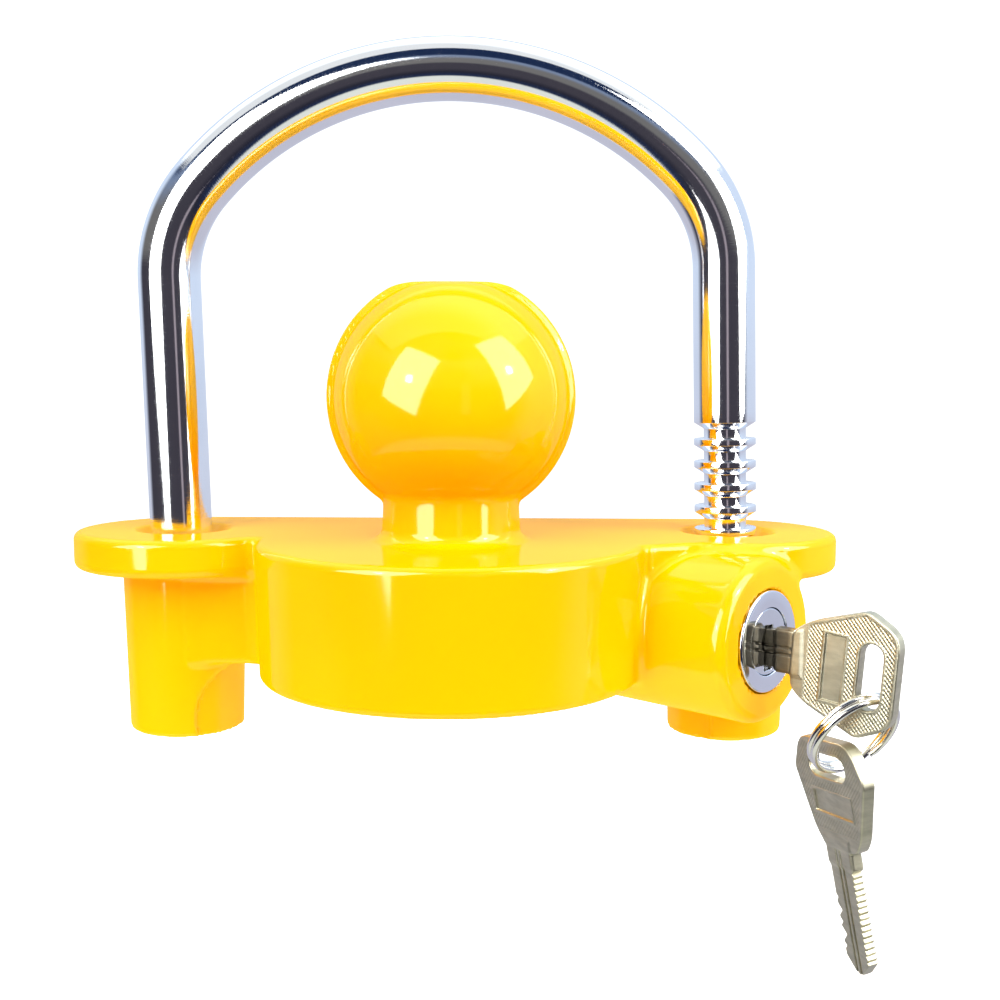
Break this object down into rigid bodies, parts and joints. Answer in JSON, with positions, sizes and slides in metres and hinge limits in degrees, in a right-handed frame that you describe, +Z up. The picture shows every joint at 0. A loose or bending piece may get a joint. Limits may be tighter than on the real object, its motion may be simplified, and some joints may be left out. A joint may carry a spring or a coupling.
{
  "type": "trailer coupler lock",
  "caption": "Coupler lock with a ball on a winged cast base, a ratchet horseshoe shackle and a side-mounted wafer lock with keys.",
  "frame": {"origin": "centre of the ball, which is where the trailer coupler's socket holds the lock", "axes": "+Z up along the ball's axis, +X along the line of the shackle legs towards the lock cylinder's side, +Y from the front to the flat rear side"},
  "size_m": [0.1537, 0.0721, 0.169],
  "materials": {
    "yellow_paint": "glossy yellow powder coat on a casting",
    "shackle_chrome": "polished chrome plate",
    "lock_chrome": "polished chrome plate",
    "plug_steel": "turned and nickel plated",
    "zinc_steel": "zinc plated steel",
    "spring_steel": "bright spring steel",
    "wafer_brass": "stamped brass",
    "key_nickel": "nickel plated, knurled bow",
    "ring_chrome": "nickel plated spring wire"
  },
  "bodies": {
    "body": {"lock_body": "yellow_paint", "lock_shell": "lock_chrome", "dog_bore_cover": "zinc_steel", "shell_retaining_pin": "zinc_steel", "dog_spring": "spring_steel"},
    "shackle": {"shackle": "shackle_chrome"},
    "plug": {"lock_plug": "plug_steel", "plug_clip": "spring_steel", "lock_cam": "zinc_steel", "cam_pin": "zinc_steel", "wafer_spring_1": "spring_steel", "wafer_spring_2": "spring_steel", "wafer_spring_3": "spring_steel", "wafer_spring_4": "spring_steel", "wafer_spring_5": "spring_steel"},
    "dog": {"lock_dog": "zinc_steel"},
    "key": {"key": "key_nickel"},
    "key_ring": {"key_ring": "ring_chrome"},
    "spare_key": {"spare_key": "key_nickel"},
    "wafer_1": {"wafer_1": "wafer_brass"},
    "wafer_2": {"wafer_2": "wafer_brass"},
    "wafer_3": {"wafer_3": "wafer_brass"},
    "wafer_4": {"wafer_4": "wafer_brass"},
    "wafer_5": {"wafer_5": "wafer_brass"}
  },
  "joints": [
    {"name": "shackle_slide", "type": "slide", "parent": "body", "child": "shackle", "axis": [-0.0262, 0, 0.9997], "range_m": [-0.0308, 0.032]},
    {"name": "plug_turn", "type": "hinge", "parent": "body", "child": "plug", "pos_m": [0.0572, -0.012, -0.043], "axis": [0.7431, -0.6691, 0], "range_deg": [-90, 0]},
    {"name": "dog_slide", "type": "slide", "parent": "body", "child": "dog", "axis": [0.6691, 0.7431, 0], "range_m": [0, 0.0026]},
    {"name": "key_pull", "type": "slide", "parent": "plug", "child": "key", "axis": [0.7431, -0.6691, 0], "range_m": [0, 0.024]},
    {"name": "ring_swing", "type": "hinge", "parent": "key", "child": "key_ring", "pos_m": [0.07202, -0.02535, -0.04995], "axis": [0.8993, 0.4363, 0.03], "range_deg": [-30, 10]},
    {"name": "spare_key_swing", "type": "hinge", "parent": "key_ring", "child": "spare_key", "pos_m": [0.06726, -0.01848, -0.06395], "axis": [-0.8383, -0.5244, 0.1495], "range_deg": [-30, 3]},
    {"name": "wafer_1_lift", "type": "slide", "parent": "plug", "child": "wafer_1", "axis": [0, 0, 1], "range_m": [0, 0.0004]},
    {"name": "wafer_2_lift", "type": "slide", "parent": "plug", "child": "wafer_2", "axis": [0, 0, 1], "range_m": [0, 0.0004]},
    {"name": "wafer_3_lift", "type": "slide", "parent": "plug", "child": "wafer_3", "axis": [0, 0, 1], "range_m": [0, 0.0004]},
    {"name": "wafer_4_lift", "type": "slide", "parent": "plug", "child": "wafer_4", "axis": [0, 0, 1], "range_m": [0, 0.0004]},
    {"name": "wafer_5_lift", "type": "slide", "parent": "plug", "child": "wafer_5", "axis": [0, 0, 1], "range_m": [0, 0.0004]}
  ],
  "couplings": [
    {"joint": "dog_slide", "follows": "plug_turn", "m_per_rad": -0.0016552},
    {"joint": "wafer_1_lift", "follows": "key_pull", "ratio": 0.016667},
    {"joint": "wafer_2_lift", "follows": "key_pull", "ratio": 0.016667},
    {"joint": "wafer_3_lift", "follows": "key_pull", "ratio": 0.016667},
    {"joint": "wafer_4_lift", "follows": "key_pull", "ratio": 0.016667},
    {"joint": "wafer_5_lift", "follows": "key_pull", "ratio": 0.016667}
  ]
}
